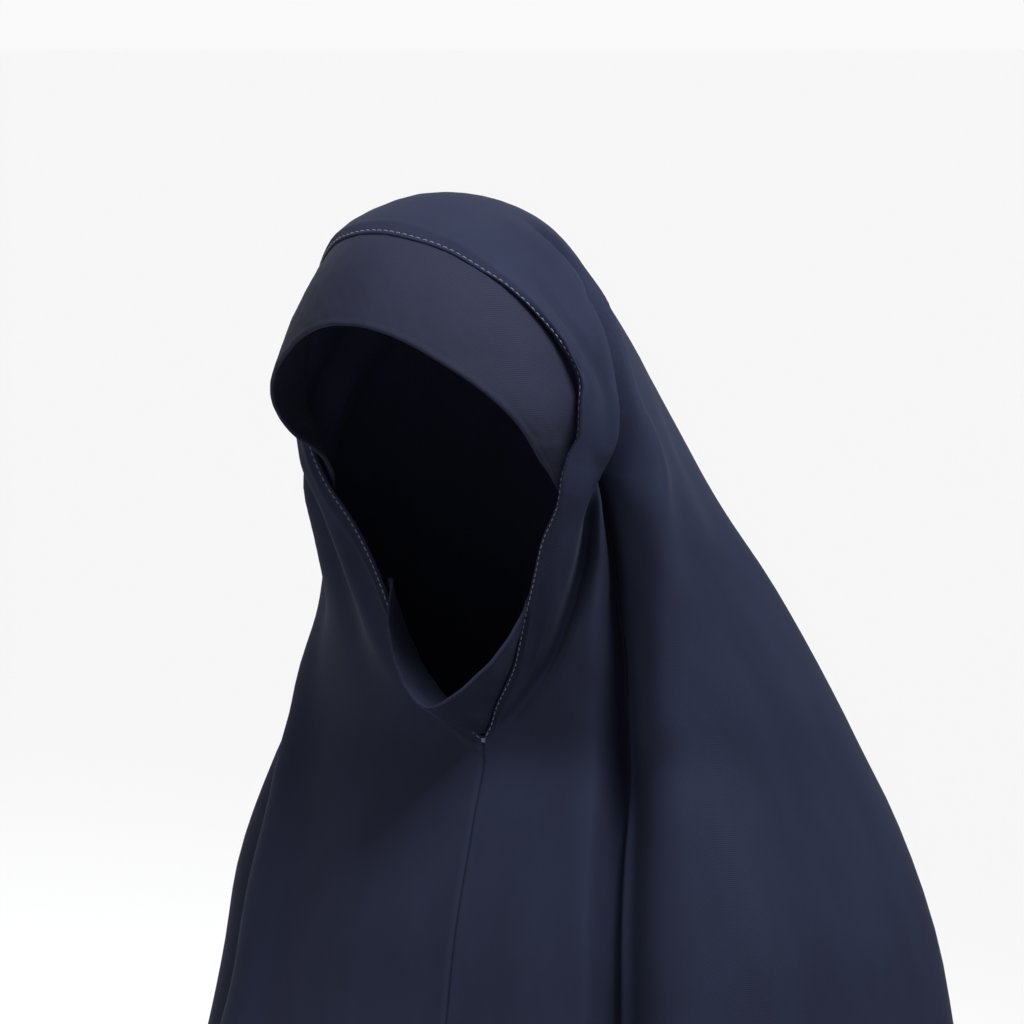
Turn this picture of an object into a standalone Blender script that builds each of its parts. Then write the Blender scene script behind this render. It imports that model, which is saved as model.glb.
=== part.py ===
"""Instant hijab: a hood and cape of one cloth, a brow band and a chin panel, in the form they hang in when worn.

Metres. The origin is the top of the hood's inside, where it sits on the crown of the head. The face looks
along -Y and the wearer's left is +X. The cloth hangs on one smooth form, made of level sections. A place on
it is a drop below the crown and a bearing: 0 degrees in front, 90 at the wearer's left, -90 at the right and
180 behind. Tables give the drop as a level, which runs from 0 at the crown to 1 at the throat and 2 at the
front hem. Folds are added to the form along tracks of such places.
"""
import math

import bmesh
import bpy
import numpy as np

# Cloth
CLOTH = 0.0016            # wall of the hood and cape
BAND_CLOTH = 0.0020       # wall of the brow band, which is double
PANEL_CLOTH = 0.0014      # wall of the chin panel
LAYER_GAP = 0.0009        # between two layers of cloth

# Hood
HOOD_DROP = 0.257         # crown to throat, where the front seam starts
HEAD_LENGTH = 0.195       # brow to the back of the head
HEAD_WIDTH = 0.168

# Cape
FRONT_LENGTH = 0.62       # throat to hem along the front
BACK_DROP = 0.05          # how much lower the hem hangs behind
SHOULDER_WIDTH = 0.386
SHOULDER_DEPTH = 0.203
HEM_WIDTH = 0.60
HEM_DEPTH = 0.334

# Folds
FOLD_HEIGHT = 0.020       # the deepest fold over the head and chest
FOLD_REACH = 0.010        # half the width of a middling fold
FLUTE_HEIGHT = 0.020      # the flutes towards the hem
FLUTE_REACH = 0.040
FLUTE_START = 0.4         # how narrow a flute starts, as a share of its reach at the hem
LAST_LEVEL = 2.15         # where the tracks end, below the hem

# Brow band
BAND_UNDER = 0.009        # how far the band runs in under the hood's edge
BROW_DROP = 0.055         # crown to the band's lower edge, at the middle of the brow
BROW_AHEAD = 0.080        # how far that edge lies ahead of the crown
TEMPLE_DROP = 0.140       # crown to the band's ends
TEMPLE_AHEAD = 0.007      # how far the ends lie ahead of the crown

# Chin panel
PANEL_UNDER = 0.005       # how far the panel runs in under the cape's edge
PANEL_TOP = 0.185         # crown to the panel's upper corners at the cheeks
CHIN_DROP = 0.235         # crown to the panel's free edge under the chin
CHIN_AHEAD = 0.014        # how far that edge lies ahead of the crown
PANEL_CORNER = 0.005      # the panel's width at its upper corners
PANEL_POINT = 0.72        # below 1, the free edge is more pointed under the chin than an arc
PANEL_SAG = 0.003         # how far the panel's middle hangs below a straight line

# Grids
FLAT_RADIUS = 0.10        # how fast the crown spreads when the form is laid flat
HEM_SPREAD = 1.35         # above 1, the columns end closer together in front than behind
CLOSEST = 0.40            # share of the way up the opening where the columns lie closest
CROWD = 0.45              # how much closer than the rest
LEFT_COLUMNS = 46         # from the throat round the left cheek to the crown
RIGHT_COLUMNS = 34
NEAR_ROWS = 16            # close together over the hood's folds
NEAR_SHARE = 0.105        # how much of the way to the hem they take
FAR_ROWS = 15             # from there to the hem, further and further apart
ROW_GROWTH = 1.21
BAND_ROWS = 5
PANEL_COLUMNS = 24
PANEL_ROWS = 5

# Sections over the head: level; front, widest and back places (shares of HEAD_LENGTH); half width (share
# of HEAD_WIDTH); how full the front and the back are (2 is an ellipse and more is squarer)
HEAD_SECTIONS = [
    (0.000, 0.000, 0.000, 0.000, 0.000, 2.0, 2.0),
    (0.016, -0.133, 0.022, 0.169, 0.131, 2.0, 2.0),
    (0.058, -0.277, 0.022, 0.313, 0.238, 2.0, 2.0),
    (0.109, -0.344, 0.026, 0.405, 0.298, 2.0, 2.0),
    (0.171, -0.390, 0.028, 0.467, 0.357, 2.0, 2.0),
    (0.253, -0.426, 0.046, 0.523, 0.429, 2.0, 2.1),
    (0.370, -0.446, 0.103, 0.585, 0.500, 2.0, 2.3),
    (0.486, -0.267, 0.231, 0.615, 0.571, 1.9, 2.3),
    (0.584, -0.123, 0.328, 0.641, 0.631, 1.8, 2.3),
    (0.681, -0.015, 0.426, 0.682, 0.679, 1.9, 2.3),
    (0.798, 0.072, 0.492, 0.733, 0.750, 1.9, 2.3),
    (0.934, 0.154, 0.533, 0.800, 0.845, 2.0, 2.2),
]
# Sections over the shoulders: the same columns, with shares of SHOULDER_DEPTH and SHOULDER_WIDTH
SHOULDER_SECTIONS = [
    (1.008, 0.177, 0.527, 0.803, 0.394, 2.0, 2.2),
    (1.061, 0.128, 0.552, 0.867, 0.435, 2.0, 2.2),
    (1.150, 0.044, 0.576, 0.951, 0.482, 2.1, 2.2),
    (1.215, 0.005, 0.581, 1.005, 0.500, 2.1, 2.2),
]
# Sections down to the hem: the same columns, with shares of HEM_DEPTH and HEM_WIDTH
SKIRT_SECTIONS = [
    (1.344, -0.072, 0.335, 0.653, 0.343, 2.2, 2.2),
    (1.489, -0.114, 0.311, 0.686, 0.370, 2.2, 2.2),
    (1.715, -0.144, 0.293, 0.740, 0.417, 2.2, 2.2),
    (2.005, -0.180, 0.281, 0.790, 0.477, 2.2, 2.2),
    (2.150, -0.192, 0.275, 0.808, 0.500, 2.2, 2.2),
]
# The edge of the face opening, from the throat up to the seam on the brow: level, left and right bearing
FACE_EDGE = [
    (1.000, 0, 0),
    (0.970, 2, 5),
    (0.934, 4, 10),
    (0.848, 11, 16),
    (0.735, 19, 21),
    (0.642, 28, 28),
    (0.545, 44, 44),
    (0.436, 66, 66),
    (0.339, 77, 77),
    (0.257, 76, 76),
    (0.195, 72, 72),
    (0.152, 66, 66),
    (0.117, 56, 56),
    (0.091, 45, 45),
    (0.068, 25, 25),
    (0.058, 0, 0),
]
# Where each side's cloth is drawn in at the cheek, below the brow band. Tracks of folds have four columns:
# level, bearing, height (share of FOLD_HEIGHT, below 0 for a valley) and reach (share of FOLD_REACH)
CHEEK_PULL = [
    (0.26, 78, 0.00, 2.2),
    (0.34, 77, -0.10, 2.2),
    (0.44, 66, -0.50, 2.2),
    (0.54, 44, -0.50, 2.2),
    (0.64, 28, -0.30, 2.2),
    (0.74, 19, -0.10, 2.2),
    (0.82, 12, 0.00, 2.2),
]
LEFT_FOLDS = {
    "edge roll": [
        (0.12, 62, 0.00, 0.60), (0.20, 76, 0.12, 0.65), (0.27, 80, 0.22, 0.70), (0.34, 81, 0.28, 0.70),
        (0.44, 71, 0.30, 0.75), (0.54, 50, 0.32, 0.80), (0.64, 35, 0.30, 0.80), (0.74, 27, 0.25, 0.80),
        (0.85, 18, 0.15, 0.80), (0.95, 8, 0.00, 0.80)],
    "cheek valley": [
        (0.36, 89, 0.00, 0.60), (0.44, 76, -0.20, 0.70), (0.51, 63, -0.40, 0.80), (0.58, 51, -0.50, 0.85),
        (0.70, 34, -0.55, 0.90), (0.78, 25, -0.50, 0.85), (0.86, 17, -0.35, 0.80), (0.92, 11, -0.15, 0.70),
        (1.00, 4, 0.00, 0.70)],
    "side ridge": [
        (0.03, 82, 0.00, 0.60), (0.08, 92, 0.10, 0.60), (0.13, 97, 0.18, 0.60), (0.20, 95, 0.24, 0.60),
        (0.27, 91, 0.28, 0.60), (0.34, 87, 0.32, 0.60), (0.42, 78, 0.38, 0.65), (0.48, 69, 0.42, 0.70),
        (0.54, 59, 0.42, 0.70), (0.64, 47, 0.30, 0.80), (0.75, 38, 0.15, 0.90), (0.90, 30, 0.00, 0.90)],
    "side valley": [
        (0.05, 103, 0.00, 0.50), (0.10, 114, -0.14, 0.50), (0.16, 117, -0.22, 0.50), (0.21, 109, -0.28, 0.52),
        (0.27, 99, -0.34, 0.54), (0.34, 91, -0.42, 0.56), (0.42, 82, -0.55, 0.62), (0.48, 72, -0.70, 0.70),
        (0.54, 62, -0.85, 0.76), (0.64, 50, -0.95, 0.84), (0.74, 42, -0.94, 0.88), (0.84, 36, -0.92, 0.90),
        (0.97, 29, -0.88, 0.95), (1.07, 27, -0.85, 1.00), (1.20, 27, -0.85, 1.10), (1.40, 27, -0.75, 1.50),
        (1.70, 27, -0.70, 2.20), (2.15, 27, -0.80, 3.00)],
    "long ridge": [
        (0.12, 124, 0.00, 0.65), (0.17, 123, 0.08, 0.65), (0.22, 112, 0.18, 0.65), (0.29, 102, 0.25, 0.65),
        (0.36, 95, 0.30, 0.70), (0.43, 88, 0.36, 0.80), (0.48, 81, 0.40, 0.90), (0.54, 72, 0.42, 1.00),
        (0.64, 61, 0.42, 1.10), (0.80, 48, 0.40, 1.20), (0.94, 41, 0.40, 1.40), (1.07, 37, 0.40, 1.60),
        (1.20, 36, 0.40, 1.80), (1.40, 37, 0.40, 2.20), (1.70, 38, 0.50, 2.80), (2.15, 38, 0.60, 3.60)],
    "shallow valley": [
        (0.30, 130, 0.00, 1.00), (0.48, 108, -0.18, 1.20), (0.60, 92, -0.20, 1.40), (0.72, 78, -0.25, 1.60),
        (0.90, 66, -0.25, 1.80), (1.08, 58, -0.30, 2.00), (1.20, 57, -0.30, 2.30), (1.50, 57, -0.40, 3.00),
        (2.15, 57, -0.70, 4.00)],
}
RIGHT_FOLDS = {
    "edge roll": [
        (0.15, -74, 0.00, 0.70), (0.26, -82, 0.20, 0.70), (0.34, -83, 0.28, 0.75), (0.44, -72, 0.32, 0.80),
        (0.54, -51, 0.32, 0.80), (0.64, -36, 0.30, 0.80), (0.74, -30, 0.20, 0.80), (0.85, -24, 0.10, 0.80),
        (0.95, -16, 0.00, 0.80)],
    "cheek valley": [
        (0.36, -90, 0.00, 0.80), (0.48, -74, -0.25, 0.90), (0.58, -54, -0.32, 1.00), (0.70, -43, -0.28, 1.00),
        (0.84, -34, -0.12, 1.00), (0.95, -28, 0.00, 1.00)],
    "side ridge": [
        (0.04, -120, 0.00, 0.80), (0.18, -114, 0.15, 0.80), (0.34, -95, 0.20, 0.85), (0.48, -75, 0.22, 0.90),
        (0.64, -58, 0.15, 1.00), (0.80, -50, 0.00, 1.00)],
    "side valley": [
        (0.12, -132, 0.00, 0.90), (0.28, -112, -0.25, 0.95), (0.42, -94, -0.36, 1.00), (0.54, -78, -0.40, 1.05),
        (0.70, -66, -0.30, 1.10), (0.86, -58, -0.10, 1.20), (0.98, -54, 0.00, 1.20)],
    "front ridge": [
        (0.80, -66, 0.00, 1.00), (0.93, -61, 0.20, 1.00), (1.03, -54, 0.35, 1.20), (1.08, -47, 0.40, 1.30),
        (1.13, -43, 0.45, 1.40), (1.25, -42, 0.50, 1.60), (1.60, -41, 0.55, 2.40), (2.15, -40, 0.70, 3.20)],
    "front recess": [
        (0.80, -80, 0.00, 1.00), (0.93, -76, -0.20, 1.00), (1.03, -70, -0.45, 1.20), (1.08, -64, -0.60, 1.30),
        (1.13, -60, -0.70, 1.40), (1.25, -58, -0.75, 1.60), (1.60, -58, -0.80, 2.40), (2.15, -58, -0.90, 3.40)],
}
# Flutes round the sides and back, which grow to the hem: the level where each starts, its bearing, and its
# height and reach at the hem (shares of FLUTE_HEIGHT and FLUTE_REACH)
FLUTES = [
    (0.45, 98, 0.90, 1.00),
    (1.00, 110, -0.70, 0.90),
    (0.70, 128, 0.85, 1.00),
    (0.95, 147, -0.80, 0.90),
    (0.80, 166, 0.80, 0.90),
    (1.05, -176, -0.85, 0.90),
    (0.75, -158, 0.90, 1.00),
    (1.00, -138, -0.80, 0.90),
    (0.85, -119, 0.85, 1.00),
    (1.05, -101, -0.70, 0.90),
    (0.90, -82, 0.80, 0.90),
]

# Colours: linear RGB
NAVY = (0.0225, 0.0275, 0.0560)
NAVY_BAND = (0.0250, 0.0305, 0.0600)
NAVY_PANEL = (0.0205, 0.0250, 0.0500)


def smooth(places, values, where):
    """Reads a smooth curve through a table's points."""
    places = np.asarray(places, float)
    values = np.asarray(values, float)
    where = np.clip(where, places[0], places[-1])
    step = np.diff(places)
    slope = np.diff(values) / step
    tangent = np.empty_like(values)
    tangent[1:-1] = (slope[:-1] * step[1:] + slope[1:] * step[:-1]) / (step[1:] + step[:-1])
    tangent[0] = slope[0]
    tangent[-1] = slope[-1]
    k = np.clip(np.searchsorted(places, where, side="right") - 1, 0, len(places) - 2)
    t = (where - places[k]) / step[k]
    start = (2 * t**3 - 3 * t**2 + 1) * values[k] + (t**3 - 2 * t**2 + t) * step[k] * tangent[k]
    end = (3 * t**2 - 2 * t**3) * values[k + 1] + (t**3 - t**2) * step[k] * tangent[k + 1]
    return start + end


def drop_at(level):
    """The drop below the crown at a level."""
    level = np.asarray(level, float)
    return np.where(level < 1, HOOD_DROP * level, HOOD_DROP + FRONT_LENGTH * (level - 1))


def sized(rows, depth, width):
    """Turns a table's shares into metres."""
    scale = np.array([1, depth, depth, depth, width, 1, 1])
    return np.array(rows) * scale


SECTIONS = np.concatenate([
    sized(HEAD_SECTIONS, HEAD_LENGTH, HEAD_WIDTH),
    sized(SHOULDER_SECTIONS, SHOULDER_DEPTH, SHOULDER_WIDTH),
    sized(SKIRT_SECTIONS, HEM_DEPTH, HEM_WIDTH),
])


def section(drop):
    """Front, widest and back places, half width and the two fullnesses at a drop."""
    # The root of the drop keeps the crown round
    places = np.sqrt(drop_at(SECTIONS[:, 0]))
    where = np.sqrt(np.maximum(drop, 0))
    return [smooth(places, SECTIONS[:, k], where) for k in range(1, 7)]


def lay_flat(drop, bearing):
    """Lays a place on the form out on a flat sheet with the crown in the middle."""
    radius = np.sqrt(np.square(drop) + 2 * FLAT_RADIUS * drop)
    return np.stack([radius * np.sin(bearing), -radius * np.cos(bearing)], axis=-1)


def pick_up(flat):
    """Takes places on the flat sheet back to drops and bearings."""
    radius = np.hypot(flat[..., 0], flat[..., 1])
    drop = np.sqrt(np.square(radius) + FLAT_RADIUS**2) - FLAT_RADIUS
    return drop, np.arctan2(flat[..., 0], -flat[..., 1])


def bare_form(drop, bearing):
    """Points on the form without pull or folds."""
    front, widest, back, half_width, front_full, back_full = section(drop)
    ahead = np.cos(bearing)
    aside = np.sin(bearing)
    full = np.where(ahead > 0, front_full, back_full)
    half_depth = np.where(ahead > 0, widest - front, back - widest)
    size = (np.abs(aside)**full + np.abs(ahead)**full) ** (-1 / full)
    height = np.broadcast_to(CLOTH - drop, size.shape)
    return np.stack([half_width * aside * size, widest - half_depth * ahead * size, height], axis=-1)


def unit(vectors):
    """Vectors at length 1."""
    return vectors / np.maximum(np.linalg.norm(vectors, axis=-1, keepdims=True), 1e-12)


def outward(flat):
    """The form's outward direction at places on the flat sheet."""
    nudge = 0.0005
    right = np.array([nudge, 0])
    ahead = np.array([0, nudge])
    across = bare_form(*pick_up(flat + right)) - bare_form(*pick_up(flat - right))
    along = bare_form(*pick_up(flat + ahead)) - bare_form(*pick_up(flat - ahead))
    return unit(np.cross(across, along))


def fold_rise(points, drop, track, height, reach):
    """How far one fold lifts the cloth at each point of the form."""
    level, bearing, rise, width = np.array(track, float).T
    places = drop_at(level)
    inside = (drop > places[0]) & (drop < places[-1])
    nudge = 0.002
    turn = np.radians(smooth(places, bearing, drop))
    turn_next = np.radians(smooth(places, bearing, drop + nudge))
    middle = bare_form(drop, turn)
    along = unit(bare_form(drop + nudge, turn_next) - middle)
    away = points - middle
    away = away - np.sum(away * along, axis=-1, keepdims=True) * along
    share = np.linalg.norm(away, axis=-1) / (reach * smooth(places, width, drop))
    return np.where(inside, height * smooth(places, rise, drop) * np.exp(-share**2), 0)


def flute_track(start, bearing, height, reach):
    """A track for one flute, which grows evenly from its start to below the hem."""
    levels = np.linspace(start, LAST_LEVEL, 6)
    growth = np.linspace(0, 1, 6)
    spread = FLUTE_START + (1 - FLUTE_START) * growth
    return [(level, bearing, height * g, reach * s) for level, g, s in zip(levels, growth, spread)]


def hang(flat, folded=True):
    """Points of the cloth's outer face at places on the flat sheet."""
    drop, bearing = pick_up(flat)
    points = bare_form(drop, bearing)
    rise = np.zeros(drop.shape)
    for side in (1, -1):
        pull = [(level, side * turn, height, reach) for level, turn, height, reach in CHEEK_PULL]
        rise += fold_rise(points, drop, pull, FOLD_HEIGHT, FOLD_REACH)
    if folded:
        for track in list(LEFT_FOLDS.values()) + list(RIGHT_FOLDS.values()):
            rise += fold_rise(points, drop, track, FOLD_HEIGHT, FOLD_REACH)
        for flute in FLUTES:
            rise += fold_rise(points, drop, flute_track(*flute), FLUTE_HEIGHT, FLUTE_REACH)
    return points + rise[..., None] * outward(flat)


def face_edge(side, shares):
    """Flat places of the face opening's edge on one side, at shares of the way up from the throat."""
    rows = np.array(FACE_EDGE, float)
    bearing = rows[:, 1] if side > 0 else -rows[:, 2]
    corners = lay_flat(drop_at(rows[:, 0]), np.radians(bearing))
    count = np.arange(len(rows))
    fine = np.linspace(0, len(rows) - 1, 400)
    flat = np.stack([smooth(count, corners[:, k], fine) for k in range(2)], axis=-1)
    run = np.linalg.norm(np.diff(hang(flat, folded=False), axis=0), axis=-1)
    way = np.concatenate([[0], np.cumsum(run)]) / np.sum(run)
    return np.stack([np.interp(shares, way, flat[:, k]) for k in range(2)], axis=-1)


def hem_line(side, shares):
    """Flat places of the hem that the opening's edge is joined to at the same shares."""
    turn = math.pi * shares**HEM_SPREAD
    drop = HOOD_DROP + FRONT_LENGTH + BACK_DROP * (1 - np.cos(turn)) / 2
    return lay_flat(drop, side * turn)


def cape_flat(side, shares, ways):
    """A grid of flat places, from the face opening (way 0) to the hem (way 1)."""
    edge = face_edge(side, shares)
    hem = hem_line(side, shares)
    ways = np.asarray(ways)[:, None, None]
    return edge * (1 - ways) + hem * ways


def grid_normals(points):
    """Unit directions square to a grid of points, on the side away from the head."""
    along = np.gradient(points, axis=0)
    across = np.gradient(points, axis=1)
    return unit(np.cross(across, along))


def make_sheet(name, points, closed):
    """A mesh object from a grid of points. A closed grid's last column meets its first."""
    rows, columns = points.shape[:2]
    mesh = bpy.data.meshes.new(name)
    builder = bmesh.new()
    verts = [[builder.verts.new(point) for point in row] for row in points]
    for r in range(rows - 1):
        for c in range(columns if closed else columns - 1):
            d = (c + 1) % columns
            builder.faces.new((verts[r][c], verts[r][d], verts[r + 1][d], verts[r + 1][c]))
    for face in builder.faces:
        face.smooth = True
    builder.normal_update()
    builder.to_mesh(mesh)
    builder.free()
    sheet = bpy.data.objects.new(name, mesh)
    bpy.context.collection.objects.link(sheet)
    return sheet


def thicken(sheet, wall):
    """Gives a sheet its wall, inwards from the outer face."""
    solid = sheet.modifiers.new("wall", "SOLIDIFY")
    solid.thickness = wall
    solid.offset = -1
    solid.use_even_offset = True
    solid.use_quality_normals = True
    solid.thickness_clamp = 0


def cloth_material(name, colour):
    """A matt cloth in one colour."""
    material = bpy.data.materials.new(name)
    material.use_nodes = True
    shader = material.node_tree.nodes["Principled BSDF"]
    shader.inputs["Base Color"].default_value = (*colour, 1)
    shader.inputs["Roughness"].default_value = 0.85
    shader.inputs["Metallic"].default_value = 0
    return material


def column_shares(count):
    """Shares of the way up the opening's edge, closest together at the cheek."""
    even = np.linspace(0, 1, count + 1)
    wave = np.sin(2 * math.pi * (even - CLOSEST)) + math.sin(2 * math.pi * CLOSEST)
    return even - CROWD * wave / (2 * math.pi)


def row_ways():
    """Ways from the opening to the hem, evenly spaced over the hood's folds and then wider and wider."""
    near = np.linspace(0, NEAR_SHARE, NEAR_ROWS + 1)
    growth = ROW_GROWTH ** np.arange(1, FAR_ROWS + 1)
    far = NEAR_SHARE + (1 - NEAR_SHARE) * np.cumsum(growth) / np.sum(growth)
    return np.concatenate([near, far])


def make_cape():
    """The hood and cape: one cloth round the face opening, closed by the seam down the front."""
    left = hang(cape_flat(1, column_shares(LEFT_COLUMNS), row_ways()))
    right = hang(cape_flat(-1, column_shares(RIGHT_COLUMNS), row_ways()))
    ring = np.concatenate([left, right[:, -2:0:-1]], axis=1)
    cape = make_sheet("cape", ring, closed=True)
    thicken(cape, CLOTH)
    cape.data.materials.append(cloth_material("cape_cloth", NAVY))
    return cape


def share_at_drop(side, drop):
    """The share of the way up the opening's edge where it is this far below the crown."""
    shares = np.linspace(0, 1, 400)
    drops = pick_up(face_edge(side, shares))[0]
    return np.interp(-drop, -drops, shares)


def half_band(side, columns):
    """Flat places over half of the brow band, from its end at the temple to the middle of the brow."""
    temple = share_at_drop(side, TEMPLE_DROP)
    shares = column_shares(columns)
    shares = np.concatenate([[temple], shares[shares > temple + 0.01]])
    edge = face_edge(side, shares)
    hem = hem_line(side, shares)
    # The upper margin runs in under the hood
    step = edge + (hem - edge) * 0.01
    length = np.linalg.norm(bare_form(*pick_up(step)) - bare_form(*pick_up(edge)), axis=-1)
    back = edge + (step - edge) * (BAND_UNDER / length)[:, None]
    # The lower edge lies in one slanting plane, from the temple to the brow
    turn = (shares - temple) / (1 - temple) * math.pi / 2
    low_drop = BROW_DROP + (TEMPLE_DROP - BROW_DROP) * (1 - np.sin(turn))
    ahead = BROW_AHEAD + (TEMPLE_AHEAD - BROW_AHEAD) * (1 - np.sin(turn))
    front, widest, _, _, full, _ = section(low_drop)
    place = np.clip((widest + ahead) / (widest - front), 0, 1)
    aside = (1 - place**full) ** (1 / full)
    low = lay_flat(low_drop, side * np.arctan2(aside, place))
    rows = np.linspace(0, 1, BAND_ROWS + 1)[:, None, None]
    return low * (1 - rows) + back * rows


def make_band():
    """The brow band: a double strip across the brow, its upper margin under the hood's edge."""
    left = half_band(1, LEFT_COLUMNS)
    right = half_band(-1, RIGHT_COLUMNS)
    flat = np.concatenate([left, right[:, -2::-1]], axis=1)
    outer = hang(flat, folded=False) - (CLOTH + LAYER_GAP) * outward(flat)
    band = make_sheet("brow_band", outer, closed=False)
    thicken(band, BAND_CLOTH)
    band.data.materials.append(cloth_material("band_cloth", NAVY_BAND))
    return band


def make_panel():
    """The chin panel: a strip from cheek to cheek under the chin, behind the cape's lower edge."""
    halves = []
    for side in (1, -1):
        shares = np.linspace(share_at_drop(side, PANEL_TOP), 0, PANEL_COLUMNS // 2 + 1)
        length = np.linalg.norm(hang(hem_line(side, shares)) - hang(face_edge(side, shares)), axis=-1)
        # The outer two rows are only there to find which way the cloth faces
        ways = np.array([2 * PANEL_UNDER, PANEL_UNDER, 0, -PANEL_UNDER]) / np.mean(length)
        cloth = hang(cape_flat(side, shares, ways))
        halves.append(cloth)
    cloth = np.concatenate([halves[0], halves[1][:, -2::-1]], axis=1)
    inner = cloth - (CLOTH + LAYER_GAP) * grid_normals(cloth)
    corner = inner[2, 0] - np.array([0, PANEL_CORNER, 0])
    turn = np.linspace(math.pi / 2, -math.pi / 2, PANEL_COLUMNS + 1)
    climb = (1 - np.cos(turn)) ** PANEL_POINT
    free = np.stack([
        corner[0] * np.sin(turn),
        -CHIN_AHEAD + (corner[1] + CHIN_AHEAD) * climb,
        -CHIN_DROP + (corner[2] + CHIN_DROP) * climb], axis=-1)
    rows = [inner[1]]
    for share in np.linspace(0, 1, PANEL_ROWS):
        row = inner[2] * (1 - share) + free * share
        sag = PANEL_SAG * math.sin(math.pi * share) * np.cos(turn)
        rows.append(row - sag[:, None] * np.array([0, 0, 1]))
    panel = make_sheet("chin_panel", np.array(rows), closed=False)
    thicken(panel, PANEL_CLOTH)
    panel.data.materials.append(cloth_material("panel_cloth", NAVY_PANEL))
    return panel


def main():
    for thing in list(bpy.data.objects):
        bpy.data.objects.remove(thing, do_unlink=True)
    make_cape()
    make_band()
    make_panel()


main()
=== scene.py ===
"""Instant hijab: the looks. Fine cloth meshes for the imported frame, with hems, seam, stitches, materials.

Metres, in the frame's own axes: the origin is the top of the hood's inside, the face looks along -Y and
the wearer's left is +X. The form and its soft folds repeat part.py: a place is a drop below the crown and
a bearing, 0 degrees in front and 90 at the wearer's left. A level is 0 at the crown, 1 at the throat and
2 at the front hem.
"""
import math

import bmesh
import bpy
import numpy as np
from mathutils import Matrix, Vector


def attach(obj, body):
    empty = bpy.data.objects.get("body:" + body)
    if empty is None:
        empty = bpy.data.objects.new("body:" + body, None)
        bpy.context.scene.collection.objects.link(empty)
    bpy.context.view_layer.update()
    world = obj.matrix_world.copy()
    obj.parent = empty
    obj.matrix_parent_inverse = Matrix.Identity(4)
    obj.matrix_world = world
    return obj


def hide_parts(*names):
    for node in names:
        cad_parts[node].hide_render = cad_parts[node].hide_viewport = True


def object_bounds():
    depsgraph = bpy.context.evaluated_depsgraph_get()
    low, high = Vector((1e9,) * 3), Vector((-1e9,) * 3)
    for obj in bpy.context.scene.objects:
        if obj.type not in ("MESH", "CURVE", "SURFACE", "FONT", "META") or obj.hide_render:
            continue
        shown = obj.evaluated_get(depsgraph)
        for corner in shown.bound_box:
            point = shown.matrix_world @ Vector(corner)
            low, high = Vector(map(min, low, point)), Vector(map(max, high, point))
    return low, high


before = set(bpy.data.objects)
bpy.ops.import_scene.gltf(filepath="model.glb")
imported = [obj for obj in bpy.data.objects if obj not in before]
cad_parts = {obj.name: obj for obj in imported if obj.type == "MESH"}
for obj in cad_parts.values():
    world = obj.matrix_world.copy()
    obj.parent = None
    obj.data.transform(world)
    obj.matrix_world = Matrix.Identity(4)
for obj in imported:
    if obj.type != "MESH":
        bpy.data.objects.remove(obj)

cad_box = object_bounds()

# Sizes, as in part.py, but for the panel's gap and corners
CLOTH = 0.0016
BAND_CLOTH = 0.0020
PANEL_CLOTH = 0.0014
LAYER_GAP = 0.0009
PANEL_GAP = 0.0030        # between the cape and the chin panel behind it
HOOD_DROP = 0.257
HEAD_LENGTH = 0.195
HEAD_WIDTH = 0.168
FRONT_LENGTH = 0.62
BACK_DROP = 0.05
SHOULDER_WIDTH = 0.386
SHOULDER_DEPTH = 0.203
HEM_WIDTH = 0.60
HEM_DEPTH = 0.334
FOLD_HEIGHT = 0.020
FOLD_REACH = 0.010
FLUTE_HEIGHT = 0.020
FLUTE_REACH = 0.040
FLUTE_START = 0.4
LAST_LEVEL = 2.15
BAND_UNDER = 0.009
BROW_DROP = 0.055
BROW_AHEAD = 0.080
TEMPLE_DROP = 0.140
TEMPLE_AHEAD = 0.007
PANEL_UNDER = 0.005
PANEL_TOP = 0.185
CHIN_DROP = 0.235
CHIN_AHEAD = 0.014
PANEL_CORNER = -0.001     # below 0, the corners are tucked in behind the cape's edge
PANEL_POINT = 0.72
PANEL_SAG = 0.003
FLAT_RADIUS = 0.10
HEM_SPREAD = 1.35

# Fine grids
LEFT_COLUMNS = 172
RIGHT_COLUMNS = 80
# Where the columns crowd together: share of the way up the opening, width and how much closer they lie
LEFT_CROWDS = [(0.28, 0.05, 1.9), (0.45, 0.14, 1.8), (0.75, 0.20, 0.6)]
RIGHT_CROWDS = [(0.42, 0.20, 1.3)]
SEAM_COLUMNS = [0.0017, 0.0034, 0.0052, 0.0072, 0.0097, 0.0130]
NEAR_REACH = 0.136        # how far the close rows reach from the face opening
NEAR_ROWS = 112
NEAR_POWER = 1.28         # above 1, the rows lie closest at the opening
FAR_ROWS = 42
FAR_GROWTH = 1.030        # each of these rows lies this much further from the last one
# Heights of the last rows above the hem
HEM_ROWS = [0.0400, 0.0300, 0.0240, 0.0205, 0.0190, 0.0182, 0.0174, 0.0166, 0.0152, 0.0125, 0.0090, 0.0055,
            0.0030, 0.0016, 0.0008, 0.0004, 0.0001, 0.0000]
BAND_COLUMNS = 200
BAND_ROWS = 34
PANEL_COLUMNS = 120
PANEL_ROWS = 26

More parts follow.
